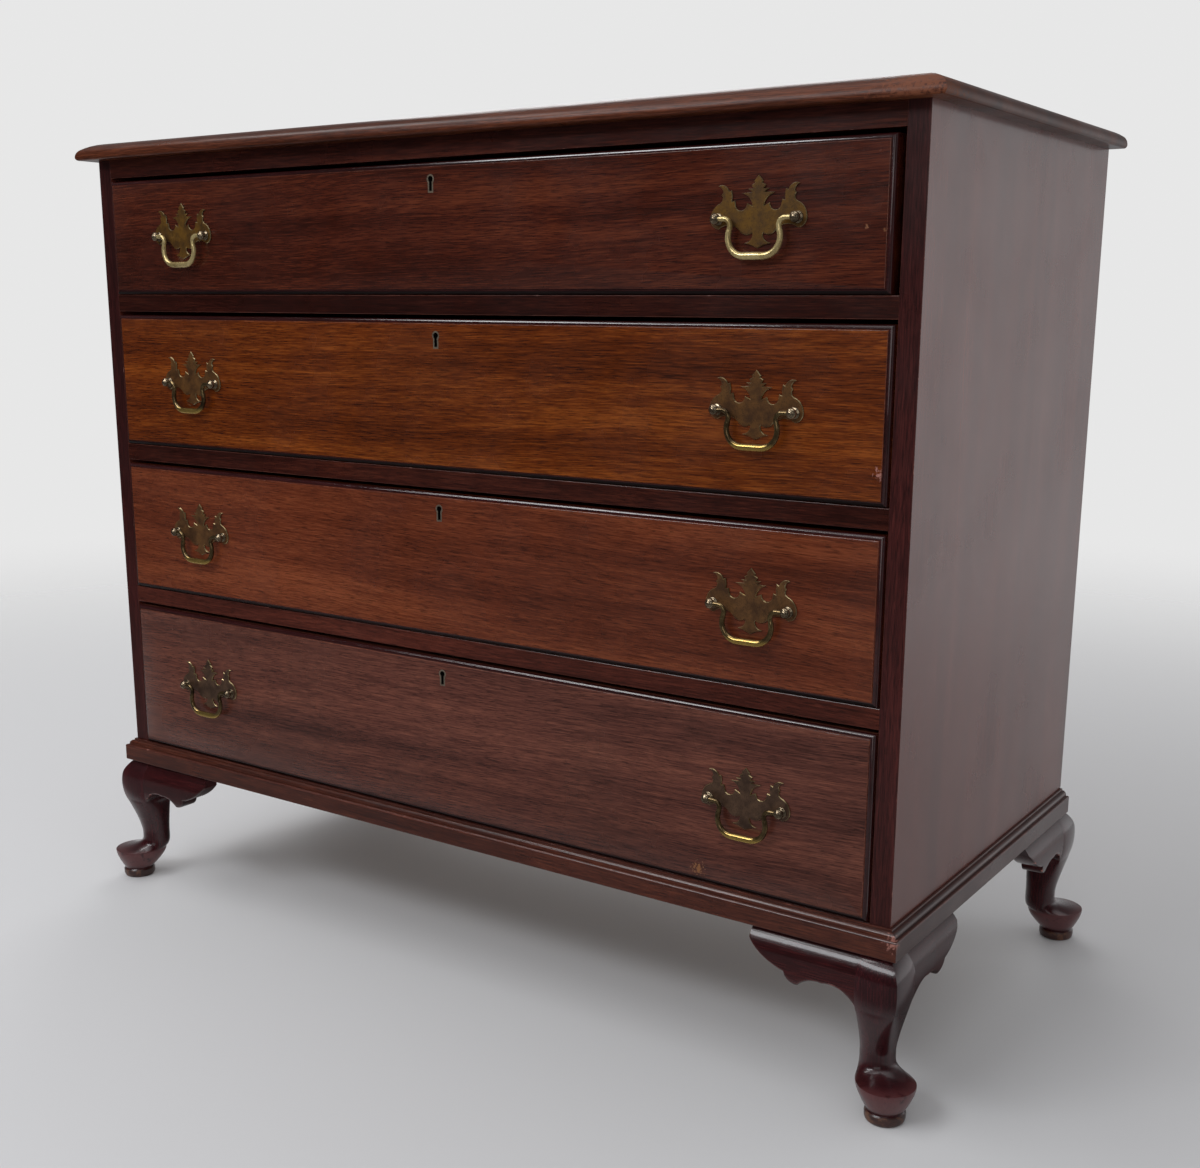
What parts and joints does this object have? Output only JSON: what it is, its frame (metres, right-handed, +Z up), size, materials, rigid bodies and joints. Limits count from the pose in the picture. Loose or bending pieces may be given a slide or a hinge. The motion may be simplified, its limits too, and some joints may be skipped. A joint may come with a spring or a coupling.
{
  "type": "bachelors chest",
  "caption": "Low mahogany chest of drawers with a thumbnail-edged top, moulded base and cabriole legs with scrolled knee brackets; drawers slide, brass bails swing and locks throw.",
  "frame": {"origin": "on the floor, under the middle of the case", "axes": "+X to the right seen from the front, +Y to the back, +Z up; the drawers face -Y"},
  "size_m": [1.0812, 0.5382, 0.8923],
  "materials": {
    "top_wood": "satin",
    "case_wood": "satin",
    "front_wood": "satin",
    "leg_wood": "satin",
    "inner_wood": "satin",
    "plate_brass": "antique",
    "bail_brass": "worn polished"
  },
  "bodies": {
    "carcass": {"top_panel": "top_wood", "left_side_panel": "case_wood", "right_side_panel": "case_wood", "left_stile": "case_wood", "right_stile": "case_wood", "top_rail": "case_wood", "drawer_rails": "case_wood", "base_moulding_front": "case_wood", "base_moulding_left": "case_wood", "base_moulding_right": "case_wood", "cabriole_legs": "leg_wood", "knee_brackets": "leg_wood", "glue_blocks": "inner_wood", "back_panel": "inner_wood", "web_frames": "inner_wood", "dust_panels": "inner_wood"},
    "drawer_1": {"drawer_1_front": "front_wood", "drawer_1_sides": "inner_wood", "drawer_1_back": "inner_wood", "drawer_1_bottom": "inner_wood", "drawer_1_pull_plates": "plate_brass", "drawer_1_pull_posts": "bail_brass", "drawer_1_lock": "plate_brass"},
    "drawer_1_bolt": {"drawer_1_lock_bolt": "bail_brass"},
    "drawer_1_left_bail": {"drawer_1_bail_left": "bail_brass"},
    "drawer_1_right_bail": {"drawer_1_bail_right": "bail_brass"},
    "drawer_2": {"drawer_2_front": "front_wood", "drawer_2_sides": "inner_wood", "drawer_2_back": "inner_wood", "drawer_2_bottom": "inner_wood", "drawer_2_pull_plates": "plate_brass", "drawer_2_pull_posts": "bail_brass", "drawer_2_lock": "plate_brass"},
    "drawer_2_bolt": {"drawer_2_lock_bolt": "bail_brass"},
    "drawer_2_left_bail": {"drawer_2_bail_left": "bail_brass"},
    "drawer_2_right_bail": {"drawer_2_bail_right": "bail_brass"},
    "drawer_3": {"drawer_3_front": "front_wood", "drawer_3_sides": "inner_wood", "drawer_3_back": "inner_wood", "drawer_3_bottom": "inner_wood", "drawer_3_pull_plates": "plate_brass", "drawer_3_pull_posts": "bail_brass", "drawer_3_lock": "plate_brass"},
    "drawer_3_bolt": {"drawer_3_lock_bolt": "bail_brass"},
    "drawer_3_left_bail": {"drawer_3_bail_left": "bail_brass"},
    "drawer_3_right_bail": {"drawer_3_bail_right": "bail_brass"},
    "drawer_4": {"drawer_4_front": "front_wood", "drawer_4_sides": "inner_wood", "drawer_4_back": "inner_wood", "drawer_4_bottom": "inner_wood", "drawer_4_pull_plates": "plate_brass", "drawer_4_pull_posts": "bail_brass", "drawer_4_lock": "plate_brass"},
    "drawer_4_bolt": {"drawer_4_lock_bolt": "bail_brass"},
    "drawer_4_left_bail": {"drawer_4_bail_left": "bail_brass"},
    "drawer_4_right_bail": {"drawer_4_bail_right": "bail_brass"}
  },
  "joints": [
    {"name": "drawer_1_slide", "type": "slide", "parent": "carcass", "child": "drawer_1", "axis": [0, -1, 0], "range_m": [0, 0.32]},
    {"name": "drawer_1_lock_throw", "type": "slide", "parent": "drawer_1", "child": "drawer_1_bolt", "axis": [0, 0, 1], "range_m": [0, 0.01]},
    {"name": "drawer_1_bail_left_swing", "type": "hinge", "parent": "drawer_1", "child": "drawer_1_left_bail", "pos_m": [-0.3649, -0.2478, 0.78605], "axis": [-1, 0, 0], "range_deg": [-5, 100]},
    {"name": "drawer_1_bail_right_swing", "type": "hinge", "parent": "drawer_1", "child": "drawer_1_right_bail", "pos_m": [0.3595, -0.2478, 0.78605], "axis": [-1, 0, 0], "range_deg": [-5, 100]},
    {"name": "drawer_2_slide", "type": "slide", "parent": "carcass", "child": "drawer_2", "axis": [0, -1, 0], "range_m": [0, 0.32]},
    {"name": "drawer_2_lock_throw", "type": "slide", "parent": "drawer_2", "child": "drawer_2_bolt", "axis": [0, 0, 1], "range_m": [0, 0.01]},
    {"name": "drawer_2_bail_left_swing", "type": "hinge", "parent": "drawer_2", "child": "drawer_2_left_bail", "pos_m": [-0.3622, -0.2478, 0.62505], "axis": [-1, 0, 0], "range_deg": [-5, 100]},
    {"name": "drawer_2_bail_right_swing", "type": "hinge", "parent": "drawer_2", "child": "drawer_2_right_bail", "pos_m": [0.3622, -0.2478, 0.62505], "axis": [-1, 0, 0], "range_deg": [-5, 100]},
    {"name": "drawer_3_slide", "type": "slide", "parent": "carcass", "child": "drawer_3", "axis": [0, -1, 0], "range_m": [0, 0.32]},
    {"name": "drawer_3_lock_throw", "type": "slide", "parent": "drawer_3", "child": "drawer_3_bolt", "axis": [0, 0, 1], "range_m": [0, 0.01]},
    {"name": "drawer_3_bail_left_swing", "type": "hinge", "parent": "drawer_3", "child": "drawer_3_left_bail", "pos_m": [-0.3622, -0.2478, 0.45205], "axis": [-1, 0, 0], "range_deg": [-5, 100]},
    {"name": "drawer_3_bail_right_swing", "type": "hinge", "parent": "drawer_3", "child": "drawer_3_right_bail", "pos_m": [0.3622, -0.2478, 0.45205], "axis": [-1, 0, 0], "range_deg": [-5, 100]},
    {"name": "drawer_4_slide", "type": "slide", "parent": "carcass", "child": "drawer_4", "axis": [0, -1, 0], "range_m": [0, 0.32]},
    {"name": "drawer_4_lock_throw", "type": "slide", "parent": "drawer_4", "child": "drawer_4_bolt", "axis": [0, 0, 1], "range_m": [0, 0.01]},
    {"name": "drawer_4_bail_left_swing", "type": "hinge", "parent": "drawer_4", "child": "drawer_4_left_bail", "pos_m": [-0.3622, -0.2478, 0.26705], "axis": [-1, 0, 0], "range_deg": [-5, 100]},
    {"name": "drawer_4_bail_right_swing", "type": "hinge", "parent": "drawer_4", "child": "drawer_4_right_bail", "pos_m": [0.3622, -0.2478, 0.26705], "axis": [-1, 0, 0], "range_deg": [-5, 100]}
  ]
}
